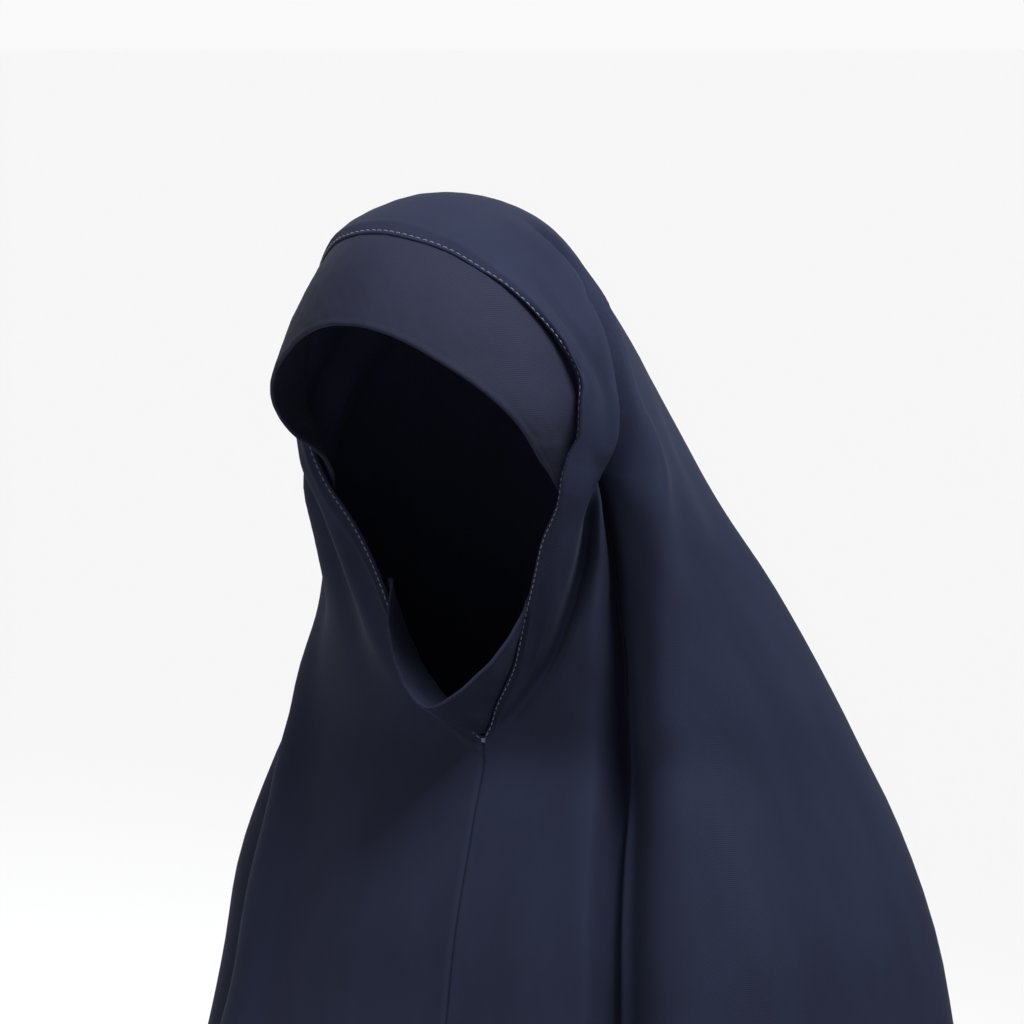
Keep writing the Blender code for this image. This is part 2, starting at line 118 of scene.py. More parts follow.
# Finish of the cape's edges. A groove or ridge has a height, a place and half its width
EDGE_STITCH = 0.0018      # from the face opening's edge to its stitches
FACING = 0.0048           # width of the flat strip along the opening, inside the roll
BROW_LEVELS = (0.16, 0.32)    # the edge is pressed on the band above the first, and not below the second
BROW_PRESS = 0.0014       # how far the hood's edge is pressed down on the brow band
BROW_PRESS_REACH = 0.0085
BROW_THINNER = 0.0008     # how much thinner the wall is there
BROW_THINNER_REACH = 0.006
STITCH_GROOVE = (0.0003, 0.0007)
STITCH_GROOVE_LESS = 0.0001   # shallower by this at the brow
FACING_RIDGE = (0.0009, 0.0026, 0.0024)
FACING_RIDGE_LESS = 0.0006
PUCKER = (0.0001, 0.0038, 0.0026)
PUCKER_WAVES = (0.0064, 0.0101)     # lengths of its two waves
SEAM_GROOVE = (0.0009, 0.0011)
SEAM_RIDGE = (0.0004, 0.0035, 0.0022)
UNEVEN = 0.0006           # soft unevenness of the loose cloth
UNEVEN_SIZE = 0.12
UNEVEN_FROM = (0.02, 0.30)    # it grows between these distances from the opening
HEM_TURN = 0.0182         # height of the turned hem
HEM_RISE = 0.0004         # how far the turned hem stands out
HEM_STEP = (0.0004, 0.0008)   # the rise begins this far below the turn's top and ends this far above
HEM_EXTRA = 0.8           # how much thicker the hem is inwards, as a share of the wall
HEM_STITCH = 0.0166       # from the hem to its stitches
HEM_GROOVE = 0.0008
THINNEST = 0.0002         # least wall at a rounded edge

# Finish of the band and the panel, as above
BAND_POWER = 1.5          # above 1, the rows lie closest at the free edge
BAND_EDGE = (0.0001, 0.0016, 0.0010)
BAND_GROOVE = (0.0001, 0.0034, 0.0007)
BAND_UNEVEN = 0.00012
BAND_UNEVEN_SIZE = 0.012
BAND_END = 0.8            # how round the ends are, as a share of the edges
BAND_DRAWN = 0.47         # the most that a face draws in, as a share of the wall
PANEL_POWER = 1.4         # above 1, the rows lie closest at the free edge
PANEL_EDGE = (0.0003, 0.0016, 0.0010)
PANEL_GROOVE = (0.0003, 0.0034, 0.0008)
PANEL_UNEVEN = 0.0003
PANEL_UNEVEN_SIZE = 0.022
PANEL_EVEN_END = 0.02     # the ends stay even this far in
PANEL_TURN = 0.06    # length of the panel's cloth for one radian round the chin

# Stitches
STITCH = 0.0023           # length of a stitch
STITCH_STEP = 0.0032      # from one stitch to the next
STITCH_START = 0.0004
STITCH_ARCH = (0.00034, 0.00012)    # how high a thread arches and how deep its ends sink
THREAD = 0.00045          # thickness of the thread
THREAD_RINGS = 6
THREAD_SIDES = 6
THREAD_TAPER = (0.55, 0.92, 1, 1, 0.92, 0.55)
BARTACK_START = 0.0016    # from the throat's edge to the first thread
BARTACK_ROWS = 4
BARTACK_STEP = 0.0005
BARTACK_WIDTH = 0.0026
BARTACK_AHEAD = (0, -0.0012, 0.0003)
BARTACK_FACING = (0, -1.0, 0.25)
BARTACK_ARCH = (0.0003, 0.0001)

# Cloths: colour, pitch of the twill lines, their slant, size of the grain and depth of the relief
CAPE_LOOK = ((0.0089, 0.0105, 0.0226), 0.0009, 0.75, 0.00065, 0.00006)
BAND_LOOK = ((0.0102, 0.0111, 0.0217), 0.0011, 0.55, 0.00080, 0.00014)
PANEL_LOOK = ((0.0091, 0.0106, 0.0226), 0.0009, 0.75, 0.00065, 0.00006)
SHINE = 0.06
SHEEN = 0.018
SHEEN_ROUGHNESS = 0.42
SHEEN_TINT = (0.62, 0.68, 0.92, 1)
WAVE_SCALE = 0.31416      # scale of the wave texture that gives one line a metre
LINE_SHARE = 0.5          # share of the twill lines in the weave, beside the grain
WEAVE_RANGE = (0.35, 1.15)
YARN_SHADES = (0.72, 1.30)    # darkest and lightest yarn, as shares of the colour
DYE_SCALE = 14
DYE_SHADES = (0.90, 1.08)
ROUGHNESS = (0.70, 0.92)
RELIEF = 0.7
THREAD_DARK = (0.032, 0.040, 0.074, 1)
THREAD_LIGHT = (0.062, 0.075, 0.128, 1)
THREAD_TWIST = 2500

# The camera at the photograph's angle: its place, the way behind it and its lens
CAMERA_PLACE = (0.9572, -1.4710, 0.0705)
CAMERA_BACK = (0.52597, -0.84173, 0.12187)
CAMERA_LENS = 135.35

# The studio
KEY_PLACE = (0.85, -0.30, 1.10)
KEY_TARGET = (-0.02, 0.05, 0.02)
KEY_SIZE = 0.6
KEY_POWER = 9.0
KEY_COLOUR = (0.93, 0.98, 1.0)
KEY_SPREAD = 62
WORLD_LIGHT = 0.955
FLOOR_COLOUR = (0.97, 0.97, 0.97)
FLOOR_RADIUS = 400
FLOOR_SIDES = 96
FLOOR_GAP = 0.002         # from the hem's lowest point down to the floor

# Sections: level; front, widest and back places (shares of the depth); half width (share of the width);
# how full the front and the back are (2 is an ellipse and more is squarer)
HEAD_SECTIONS = [
    (0.000, 0.000, 0.000, 0.000, 0.000, 2.0, 2.0),
    (0.016, -0.133, 0.022, 0.169, 0.131, 2.0, 2.0),
    (0.058, -0.277, 0.022, 0.313, 0.238, 2.0, 2.0),
    (0.109, -0.344, 0.026, 0.405, 0.298, 2.0, 2.0),
    (0.171, -0.390, 0.028, 0.467, 0.357, 2.0, 2.0),
    (0.253, -0.426, 0.046, 0.523, 0.429, 2.0, 2.1),
    (0.370, -0.446, 0.103, 0.585, 0.500, 2.0, 2.3),
    (0.486, -0.267, 0.231, 0.615, 0.571, 1.9, 2.3),
    (0.584, -0.123, 0.328, 0.641, 0.631, 1.8, 2.3),
    (0.681, -0.015, 0.426, 0.682, 0.679, 1.9, 2.3),
    (0.798, 0.072, 0.492, 0.733, 0.750, 1.9, 2.3),
    (0.934, 0.154, 0.533, 0.800, 0.845, 2.0, 2.2),
]
SHOULDER_SECTIONS = [
    (1.008, 0.177, 0.527, 0.803, 0.394, 2.0, 2.2),
    (1.061, 0.128, 0.552, 0.867, 0.435, 2.0, 2.2),
    (1.150, 0.044, 0.576, 0.951, 0.482, 2.1, 2.2),
    (1.215, 0.005, 0.581, 1.005, 0.500, 2.1, 2.2),
]
SKIRT_SECTIONS = [
    (1.344, -0.072, 0.335, 0.653, 0.343, 2.2, 2.2),
    (1.489, -0.114, 0.311, 0.686, 0.370, 2.2, 2.2),
    (1.715, -0.144, 0.293, 0.740, 0.417, 2.2, 2.2),
    (2.005, -0.180, 0.281, 0.790, 0.477, 2.2, 2.2),
    (2.150, -0.192, 0.275, 0.808, 0.500, 2.2, 2.2),
]
# The face opening's edge: level, bearing on the left and bearing on the right
FACE_EDGE = [
    (1.000, 0, 0),
    (0.970, 2, 5),
    (0.934, 4, 10),
    (0.848, 11, 16),
    (0.735, 19, 21),
    (0.642, 28, 28),
    (0.545, 44, 44),
    (0.436, 66, 66),
    (0.339, 77, 77),
    (0.257, 76, 76),
    (0.195, 72, 72),
    (0.152, 66, 66),
    (0.117, 56, 56),
    (0.091, 45, 45),
    (0.068, 25, 25),
    (0.058, 0, 0),
]
# Where the cheeks are pulled in: level, bearing, height and reach, as for a fold
CHEEK_PULL = [
    (0.26, 78, 0.00, 2.2),
    (0.34, 77, -0.10, 2.2),
    (0.44, 66, -0.50, 2.2),
    (0.54, 44, -0.50, 2.2),
    (0.64, 28, -0.30, 2.2),
    (0.74, 19, -0.10, 2.2),
    (0.82, 12, 0.00, 2.2),
]
# Folds: level, bearing, height (share of FOLD_HEIGHT, below 0 for a valley), reach (share of FOLD_REACH)
LEFT_FOLDS = {
    "edge roll": [
        (0.12, 62, 0.00, 0.60), (0.20, 76, 0.12, 0.65), (0.27, 80, 0.22, 0.70), (0.34, 81, 0.28, 0.70),
        (0.44, 71, 0.30, 0.75), (0.54, 50, 0.32, 0.80), (0.64, 35, 0.30, 0.80), (0.74, 27, 0.25, 0.80),
        (0.85, 18, 0.15, 0.80), (0.95, 8, 0.00, 0.80)],
    "cheek valley": [
        (0.36, 89, 0.00, 0.60), (0.44, 76, -0.20, 0.70), (0.51, 63, -0.40, 0.80), (0.58, 51, -0.50, 0.85),
        (0.70, 34, -0.55, 0.90), (0.78, 25, -0.50, 0.85), (0.86, 17, -0.35, 0.80), (0.92, 11, -0.15, 0.70),
        (1.00, 4, 0.00, 0.70)],
    "side ridge": [
        (0.03, 82, 0.00, 0.60), (0.08, 92, 0.10, 0.60), (0.13, 97, 0.18, 0.60), (0.20, 95, 0.24, 0.60),
        (0.27, 91, 0.28, 0.60), (0.34, 87, 0.32, 0.60), (0.42, 78, 0.38, 0.65), (0.48, 69, 0.42, 0.70),
        (0.54, 59, 0.42, 0.70), (0.64, 47, 0.30, 0.80), (0.75, 38, 0.15, 0.90), (0.90, 30, 0.00, 0.90)],
    "side valley": [
        (0.05, 103, 0.00, 0.50), (0.10, 114, -0.14, 0.50), (0.16, 117, -0.22, 0.50),
        (0.21, 109, -0.28, 0.52),
        (0.27, 99, -0.34, 0.54), (0.34, 91, -0.42, 0.56), (0.42, 82, -0.55, 0.62), (0.48, 72, -0.70, 0.70),
        (0.54, 62, -0.85, 0.76), (0.64, 50, -0.95, 0.84), (0.74, 42, -0.94, 0.88), (0.84, 36, -0.92, 0.90),
        (0.97, 29, -0.88, 0.95), (1.07, 27, -0.85, 1.00), (1.20, 27, -0.85, 1.10), (1.40, 27, -0.75, 1.50),
        (1.70, 27, -0.70, 2.20), (2.15, 27, -0.80, 3.00)],
    "long ridge": [
        (0.12, 124, 0.00, 0.65), (0.17, 123, 0.08, 0.65), (0.22, 112, 0.18, 0.65), (0.29, 102, 0.25, 0.65),
        (0.36, 95, 0.30, 0.70), (0.43, 88, 0.36, 0.80), (0.48, 81, 0.40, 0.90), (0.54, 72, 0.42, 1.00),
        (0.64, 61, 0.42, 1.10), (0.80, 48, 0.40, 1.20), (0.94, 41, 0.40, 1.40), (1.07, 37, 0.40, 1.60),
        (1.20, 36, 0.40, 1.80), (1.40, 37, 0.40, 2.20), (1.70, 38, 0.50, 2.80), (2.15, 38, 0.60, 3.60)],
    "shallow valley": [
        (0.30, 130, 0.00, 1.00), (0.48, 108, -0.18, 1.20), (0.60, 92, -0.20, 1.40), (0.72, 78, -0.25, 1.60),
        (0.90, 66, -0.25, 1.80), (1.08, 58, -0.30, 2.00), (1.20, 57, -0.30, 2.30), (1.50, 57, -0.40, 3.00),
        (2.15, 57, -0.70, 4.00)],
}
RIGHT_FOLDS = {
    "edge roll": [
        (0.15, -74, 0.00, 0.70), (0.26, -82, 0.20, 0.70), (0.34, -83, 0.28, 0.75), (0.44, -72, 0.32, 0.80),
        (0.54, -51, 0.32, 0.80), (0.64, -36, 0.30, 0.80), (0.74, -30, 0.20, 0.80), (0.85, -24, 0.10, 0.80),
        (0.95, -16, 0.00, 0.80)],
    "cheek valley": [
        (0.36, -90, 0.00, 0.80), (0.48, -74, -0.25, 0.90), (0.58, -54, -0.32, 1.00),
        (0.70, -43, -0.28, 1.00),
        (0.84, -34, -0.12, 1.00), (0.95, -28, 0.00, 1.00)],
    "side ridge": [
        (0.04, -120, 0.00, 0.80), (0.18, -114, 0.15, 0.80), (0.34, -95, 0.20, 0.85),
        (0.48, -75, 0.22, 0.90),
        (0.64, -58, 0.15, 1.00), (0.80, -50, 0.00, 1.00)],
    "side valley": [
        (0.12, -132, 0.00, 0.90), (0.28, -112, -0.25, 0.95), (0.42, -94, -0.36, 1.00),
        (0.54, -78, -0.40, 1.05),
        (0.70, -66, -0.30, 1.10), (0.86, -58, -0.10, 1.20), (0.98, -54, 0.00, 1.20)],
    "front ridge": [
        (0.80, -66, 0.00, 1.00), (0.93, -61, 0.20, 1.00), (1.03, -54, 0.35, 1.20),
        (1.08, -47, 0.40, 1.30),
        (1.13, -43, 0.45, 1.40), (1.25, -42, 0.50, 1.60), (1.60, -41, 0.55, 2.40), (2.15, -40, 0.70, 3.20)],
    "front recess": [
        (0.80, -80, 0.00, 1.00), (0.93, -76, -0.20, 1.00), (1.03, -70, -0.45, 1.20),
        (1.08, -64, -0.60, 1.30),
        (1.13, -60, -0.70, 1.40), (1.25, -58, -0.75, 1.60), (1.60, -58, -0.80, 2.40),
        (2.15, -58, -0.90, 3.40)],
}
# Flutes: the level where each starts, its bearing, and its height and reach at the hem
FLUTES = [
    (0.45, 98, 0.90, 1.00),
    (1.00, 110, -0.70, 0.90),
    (0.70, 128, 0.85, 1.00),
    (0.95, 147, -0.80, 0.90),
    (0.80, 166, 0.80, 0.90),
    (1.05, -176, -0.85, 0.90),
    (0.75, -158, 0.90, 1.00),
    (1.00, -138, -0.80, 0.90),
    (0.85, -119, 0.85, 1.00),
    (1.05, -101, -0.70, 0.90),
    (0.90, -82, 0.80, 0.90),
]


# Sharp creases inside the soft folds: level, bearing, rise and half width in metres
CREASES = {
    "side slot": [
        (0.050, 102, 0.0000, 0.0026), (0.080, 111, -0.0050, 0.0026), (0.120, 117, -0.0070, 0.0026),
        (0.160, 117, -0.0078, 0.0026), (0.200, 111, -0.0080, 0.0026), (0.246, 104, -0.0090, 0.0030),
        (0.294, 98, -0.0105, 0.0033), (0.344, 93, -0.0115, 0.0035), (0.393, 87, -0.0120, 0.0035),
        (0.444, 79.5, -0.0130, 0.0034), (0.506, 68.5, -0.0145, 0.0032), (0.564, 59, -0.0160, 0.0031),
        (0.639, 50, -0.0170, 0.0032), (0.732, 41.2, -0.0175, 0.0035), (0.826, 34.4, -0.0175, 0.0038),
        (0.978, 25.8, -0.0175, 0.0041), (1.060, 23.8, -0.0175, 0.0043), (1.200, 23.8, -0.0165, 0.0047),
        (1.400, 24.4, -0.0140, 0.0060), (1.700, 26, -0.0090, 0.0090), (2.150, 27, -0.0060, 0.0140)],
    "between the rolls": [
        (0.130, 80, 0.0000, 0.0040), (0.190, 84, -0.0016, 0.0040), (0.260, 85, -0.0026, 0.0042),
        (0.330, 83, -0.0028, 0.0042), (0.400, 77, -0.0024, 0.0042), (0.450, 70, -0.0012, 0.0042),
        (0.500, 62, 0.0000, 0.0042)],
    "lip": [
        (0.040, 92, 0.0000, 0.0030), (0.071, 96, 0.0010, 0.0030), (0.134, 101, 0.0018, 0.0030),
        (0.182, 100, 0.0020, 0.0030), (0.226, 95, 0.0022, 0.0030), (0.313, 88, 0.0022, 0.0030),
        (0.380, 82.5, 0.0024, 0.0032), (0.423, 76.5, 0.0026, 0.0034), (0.468, 69.5, 0.0026, 0.0036),
        (0.556, 55.5, 0.0024, 0.0038), (0.629, 47, 0.0016, 0.0040), (0.740, 39.5, 0.0008, 0.0040),
        (0.860, 33, 0.0000, 0.0040)],
    "cheek crease": [
        (0.424, 79, 0.0000, 0.0034), (0.471, 71, -0.0040, 0.0034), (0.538, 58, -0.0075, 0.0036),
        (0.599, 47, -0.0095, 0.0038), (0.647, 40.5, -0.0105, 0.0040), (0.708, 33, -0.0110, 0.0040),
        (0.782, 25, -0.0100, 0.0038), (0.861, 17, -0.0078, 0.0034), (0.921, 10.5, -0.0050, 0.0030),
        (0.984, 4.2, 0.0000, 0.0026)],
    "throat fold": [
        (0.600, 38, 0.0000, 0.0030), (0.660, 31, 0.0012, 0.0030), (0.759, 23.6, 0.0022, 0.0032),
        (0.840, 17, 0.0024, 0.0032), (0.901, 11.9, 0.0020, 0.0030), (0.965, 5.3, 0.0000, 0.0026)],
    "far recess": [
        (0.850, -74, 0.0000, 0.0070), (0.950, -71, -0.0050, 0.0075), (1.030, -66, -0.0100, 0.0080),
        (1.080, -60, -0.0120, 0.0080), (1.130, -56, -0.0130, 0.0085), (1.250, -54, -0.0130, 0.0095),
        (1.600, -54, -0.0120, 0.0140), (2.150, -54, -0.0100, 0.0200)],
    "faint crease": [
        (0.640, 45, 0.0000, 0.0024), (0.681, 41.7, -0.0008, 0.0024), (0.756, 36, -0.0010, 0.0026),
        (0.836, 31, -0.0009, 0.0028), (0.930, 25, 0.0000, 0.0030)],
}
# How far the roll along the left cheek leans over the opening: level of the edge and the lean
LEAN = [(0.06, 0.0000), (0.15, 0.0010), (0.22, 0.0025), (0.30, 0.0060), (0.37, 0.0085), (0.45, 0.0085),
        (0.51, 0.0070), (0.57, 0.0042), (0.65, 0.0022), (0.80, 0.0010), (0.95, 0.0000)]
LEAN_MIDDLE = 0.0080      # where the lean is largest, from the opening's edge
LEAN_REACH = 0.0068
RIGHT_LEAN = 0.4          # the right cheek's lean, as a share of the left one's


def smooth(places, values, where):
    """Reads a smooth curve through a table's points."""
    places = np.asarray(places, float)
    values = np.asarray(values, float)
    where = np.clip(where, places[0], places[-1])
    step = np.diff(places)
    slope = np.diff(values) / step
    tangent = np.empty_like(values)
    tangent[1:-1] = (slope[:-1] * step[1:] + slope[1:] * step[:-1]) / (step[1:] + step[:-1])
    tangent[0] = slope[0]
    tangent[-1] = slope[-1]
    k = np.clip(np.searchsorted(places, where, side="right") - 1, 0, len(places) - 2)
    t = (where - places[k]) / step[k]
    start = (2 * t**3 - 3 * t**2 + 1) * values[k] + (t**3 - 2 * t**2 + t) * step[k] * tangent[k]
    end = (3 * t**2 - 2 * t**3) * values[k + 1] + (t**3 - t**2) * step[k] * tangent[k + 1]
    return start + end


def drop_at(level):
    """The drop below the crown at a level."""
    level = np.asarray(level, float)
    return np.where(level < 1, HOOD_DROP * level, HOOD_DROP + FRONT_LENGTH * (level - 1))


def sized(rows, depth, width):
    """Turns a table's shares into metres."""
    return np.array(rows) * np.array([1, depth, depth, depth, width, 1, 1])


SECTIONS = np.concatenate([
    sized(HEAD_SECTIONS, HEAD_LENGTH, HEAD_WIDTH),
    sized(SHOULDER_SECTIONS, SHOULDER_DEPTH, SHOULDER_WIDTH),
    sized(SKIRT_SECTIONS, HEM_DEPTH, HEM_WIDTH),
])
SECTION_PLACES = np.sqrt(drop_at(SECTIONS[:, 0]))


def section(drop):
    """Front, widest and back places, half width and the two fullnesses at a drop."""
    where = np.sqrt(np.maximum(drop, 0))
    return [smooth(SECTION_PLACES, SECTIONS[:, k], where) for k in range(1, 7)]


def lay_flat(drop, bearing):
    """Lays a place on the form out on a flat sheet with the crown in the middle."""
    radius = np.sqrt(np.square(drop) + 2 * FLAT_RADIUS * drop)
    return np.stack([radius * np.sin(bearing), -radius * np.cos(bearing)], axis=-1)


def pick_up(flat):
    """Takes places on the flat sheet back to drops and bearings."""
    radius = np.hypot(flat[..., 0], flat[..., 1])
    drop = np.sqrt(np.square(radius) + FLAT_RADIUS**2) - FLAT_RADIUS
    return drop, np.arctan2(flat[..., 0], -flat[..., 1])


def bare_form(drop, bearing):
    """Points on the form without pull or folds."""
    front, widest, back, half_width, front_full, back_full = section(drop)
    ahead = np.cos(bearing)
    aside = np.sin(bearing)
    full = np.where(ahead > 0, front_full, back_full)
    half_depth = np.where(ahead > 0, widest - front, back - widest)
    size = (np.abs(aside)**full + np.abs(ahead)**full) ** (-1 / full)
    height = np.broadcast_to(CLOTH - drop, size.shape)
    return np.stack([half_width * aside * size, widest - half_depth * ahead * size, height], axis=-1)


def unit(vectors):
    """Vectors at length 1."""
    return vectors / np.maximum(np.linalg.norm(vectors, axis=-1, keepdims=True), 1e-12)


def outward(flat):
    """The form's outward direction at places on the flat sheet."""
    nudge = 0.0005
    right = np.array([nudge, 0])
    ahead = np.array([0, nudge])
    across = bare_form(*pick_up(flat + right)) - bare_form(*pick_up(flat - right))
    along = bare_form(*pick_up(flat + ahead)) - bare_form(*pick_up(flat - ahead))
    return unit(np.cross(across, along))


def fold_rise(points, drop, track, height, reach):
    """How far one fold lifts the cloth at each point of the form."""
    level, bearing, rise, width = np.array(track, float).T
    places = drop_at(level)
    inside = (drop > places[0]) & (drop < places[-1])
    nudge = 0.002
    turn = np.radians(smooth(places, bearing, drop))
    turn_next = np.radians(smooth(places, bearing, drop + nudge))
    middle = bare_form(drop, turn)
    along = unit(bare_form(drop + nudge, turn_next) - middle)
    away = points - middle
    away = away - np.sum(away * along, axis=-1, keepdims=True) * along
    share = np.linalg.norm(away, axis=-1) / (reach * smooth(places, width, drop))
    return np.where(inside, height * smooth(places, rise, drop) * np.exp(-share**2), 0)


def crease_rise(points, drop, track):
    """How far one sharp crease moves the cloth, with steep sides and a flat floor."""
    level, bearing, rise, width = np.array(track, float).T
    places = drop_at(level)
    inside = (drop > places[0]) & (drop < places[-1])
    nudge = 0.002
    turn = np.radians(smooth(places, bearing, drop))
    turn_next = np.radians(smooth(places, bearing, drop + nudge))
    middle = bare_form(drop, turn)
    along = unit(bare_form(drop + nudge, turn_next) - middle)
    away = points - middle
    away = away - np.sum(away * along, axis=-1, keepdims=True) * along
    share = np.linalg.norm(away, axis=-1) / smooth(places, width, drop)
    return np.where(inside, smooth(places, rise, drop) * np.exp(-share**3), 0)


def flute_track(start, bearing, height, reach):
    """A track for one flute, which grows evenly from its start to below the hem."""
    levels = np.linspace(start, LAST_LEVEL, 6)
    growth = np.linspace(0, 1, 6)
    spread = FLUTE_START + (1 - FLUTE_START) * growth
    return [(level, bearing, height * g, reach * s) for level, g, s in zip(levels, growth, spread)]


def hang(flat, folded=True):
    """Points of the cloth's outer face at places on the flat sheet."""
    drop, bearing = pick_up(flat)
    points = bare_form(drop, bearing)
    rise = np.zeros(drop.shape)
    for side in (1, -1):
        pull = [(level, side * turn, height, reach) for level, turn, height, reach in CHEEK_PULL]
        rise += fold_rise(points, drop, pull, FOLD_HEIGHT, FOLD_REACH)
    if folded:
        for track in list(LEFT_FOLDS.values()) + list(RIGHT_FOLDS.values()):
            rise += fold_rise(points, drop, track, FOLD_HEIGHT, FOLD_REACH)
        for flute in FLUTES:
            rise += fold_rise(points, drop, flute_track(*flute), FLUTE_HEIGHT, FLUTE_REACH)
        for track in CREASES.values():
            rise += crease_rise(points, drop, track)
    return points + rise[..., None] * outward(flat)


def face_edge(side, shares):
    """Flat places of the face opening's edge on one side, at shares of the way up from the throat."""
    rows = np.array(FACE_EDGE, float)
    bearing = rows[:, 1] if side > 0 else -rows[:, 2]
    corners = lay_flat(drop_at(rows[:, 0]), np.radians(bearing))
    count = np.arange(len(rows))
    fine = np.linspace(0, len(rows) - 1, 400)
    flat = np.stack([smooth(count, corners[:, k], fine) for k in range(2)], axis=-1)
    run = np.linalg.norm(np.diff(hang(flat, folded=False), axis=0), axis=-1)
    way = np.concatenate([[0], np.cumsum(run)]) / np.sum(run)
    return np.stack([np.interp(shares, way, flat[:, k]) for k in range(2)], axis=-1)


def hem_line(side, shares):
    """Flat places of the hem that the opening's edge is joined to at the same shares."""
    turn = math.pi * shares**HEM_SPREAD
    drop = HOOD_DROP + FRONT_LENGTH + BACK_DROP * (1 - np.cos(turn)) / 2
    return lay_flat(drop, side * turn)


def cape_flat(side, shares, ways):
    """A grid of flat places, from the face opening (way 0) to the hem (way 1)."""
    edge = face_edge(side, shares)
    hem = hem_line(side, shares)
    ways = np.asarray(ways)[:, None, None]
    return edge * (1 - ways) + hem * ways


def column_shares(side):
    """Shares of the way up the opening's edge, closest over the folds and beside the front seam."""
    fine = np.linspace(0, 1, 2001)
    density = np.ones(len(fine))
    for place, width, extra in LEFT_CROWDS if side > 0 else RIGHT_CROWDS:
        density += extra * bell(fine, place, width)
    total = np.concatenate([[0], np.cumsum(density[1:] + density[:-1])])
    count = LEFT_COLUMNS if side > 0 else RIGHT_COLUMNS
    shares = np.interp(np.linspace(0, 1, count + 1), total / total[-1], fine)
    return np.concatenate([[0], SEAM_COLUMNS, shares[shares > SEAM_COLUMNS[-1] * 1.3]])


def run_along(points, axis):
    """How far each point of a grid lies along its row or column."""
    step = np.linalg.norm(np.diff(points, axis=axis), axis=-1)
    start = np.zeros_like(np.take(step, [0], axis=axis))
    return np.concatenate([start, np.cumsum(step, axis=axis)], axis=axis)


def grid_normals(points, closed):
    """Unit directions square to a grid of points, on the side away from the head."""
    along = np.gradient(points, axis=0)
    if closed:
        across = np.roll(points, -1, axis=1) - np.roll(points, 1, axis=1)
    else:
        across = np.gradient(points, axis=1)
    return unit(np.cross(along, across))


def near_runs():
    """Distances of the close rows from the opening's edge, with one row under the stitches' line."""
    even = np.linspace(0, 1, NEAR_ROWS + 1) ** NEAR_POWER * NEAR_REACH
    return np.sort(np.append(even, [EDGE_STITCH, FACING]))


def fine_flat(side, shares):
    """A fine grid of flat places on one side: rows at set distances from the opening and from the hem."""
    edge = face_edge(side, shares)
    hem = hem_line(side, shares)
    probe = np.linspace(0, 1, 181) ** 1.5
    trial = edge * (1 - probe[:, None, None]) + hem * probe[:, None, None]
    run = run_along(hang(trial, folded=False), 0)
    near = near_runs()
    growth = FAR_GROWTH ** np.arange(1, FAR_ROWS + 1)
    far = np.cumsum(growth) / np.sum(growth) * (1 - 1e-6)
    tail = np.array(HEM_ROWS)
    columns = []
    for c in range(len(shares)):
        length = run[-1, c]
        between = near[-1] + (length - near[-1] - tail[0] * 1.25) * far
        way = np.interp(np.concatenate([near, between, length - tail]), run[:, c], probe)[:, None]
        columns.append(edge[c] * (1 - way) + hem[c] * way)
    return np.stack(columns, axis=1)


def bell(distance, middle, width):
    """1 at the middle and almost 0 beyond two widths from it."""
    return np.exp(-((distance - middle) / width) ** 2)


def step_up(value, start, end):
    """Rises smoothly from 0 at the start to 1 at the end."""
    share = np.clip((value - start) / (end - start), 0, 1)
    return share * share * (3 - 2 * share)


def ripple(flat, size, seed):
    """Soft unevenness over the flat cloth, between about -1 and 1, from a few crossed waves."""
    total = np.zeros(flat.shape[:-1])
    for k in range(7):
        turn = 2.399963 * k + seed
        wave = 2 * math.pi / (size * (0.7 + 0.13 * k))
        along = flat[..., 0] * math.cos(turn) + flat[..., 1] * math.sin(turn)
        total += np.sin(wave * along + 1.7 * k + 3.1 * seed)
    return total / 4.2


def round_edge(depth, radius):
    """How far a face draws in towards the middle of the wall at a distance from its cut edge."""
    near = np.clip(1 - depth / radius, 0, 1)
    return radius * (1 - np.sqrt(1 - 0.98 * near**2))


def cloth_object(name, outer, inner, closed, cut):
    """A closed wall of cloth between two grids of points, with each point's place on the flat cloth."""
    rows, columns = outer.shape[:2]
    points = np.concatenate([outer.reshape(-1, 3), inner.reshape(-1, 3)])
    flat = np.concatenate([cut.reshape(-1, 2), cut.reshape(-1, 2)])
    shift = rows * columns
    spans = columns if closed else columns - 1
    faces = []
    for r in range(rows - 1):
        for c in range(spans):
            a = r * columns + c
            b = r * columns + (c + 1) % columns
            d = a + columns
            e = b + columns
            faces.append((a, d, e, b))
            faces.append((a + shift, b + shift, e + shift, d + shift))
    last = (rows - 1) * columns
    for c in range(spans):
        a = c
        b = (c + 1) % columns
        faces.append((a, b, b + shift, a + shift))
        faces.append((b + last, a + last, a + last + shift, b + last + shift))
    if not closed:
        for r in range(rows - 1):
            a = r * columns
            b = a + columns
            faces.append((b, a, a + shift, b + shift))
            a = a + columns - 1
            b = b + columns - 1
            faces.append((a, b, b + shift, a + shift))
    mesh = bpy.data.meshes.new(name)
    mesh.from_pydata(points.tolist(), [], faces)
    layer = mesh.uv_layers.new(name="cut")
    corners = np.empty(len(mesh.loops), dtype=np.int32)
    mesh.loops.foreach_get("vertex_index", corners)
    layer.data.foreach_set("uv", flat[corners].astype(np.float32).ravel())
    mesh.shade_smooth()
    mesh.update()
    piece = bpy.data.objects.new(name, mesh)
    bpy.context.scene.collection.objects.link(piece)
    return piece


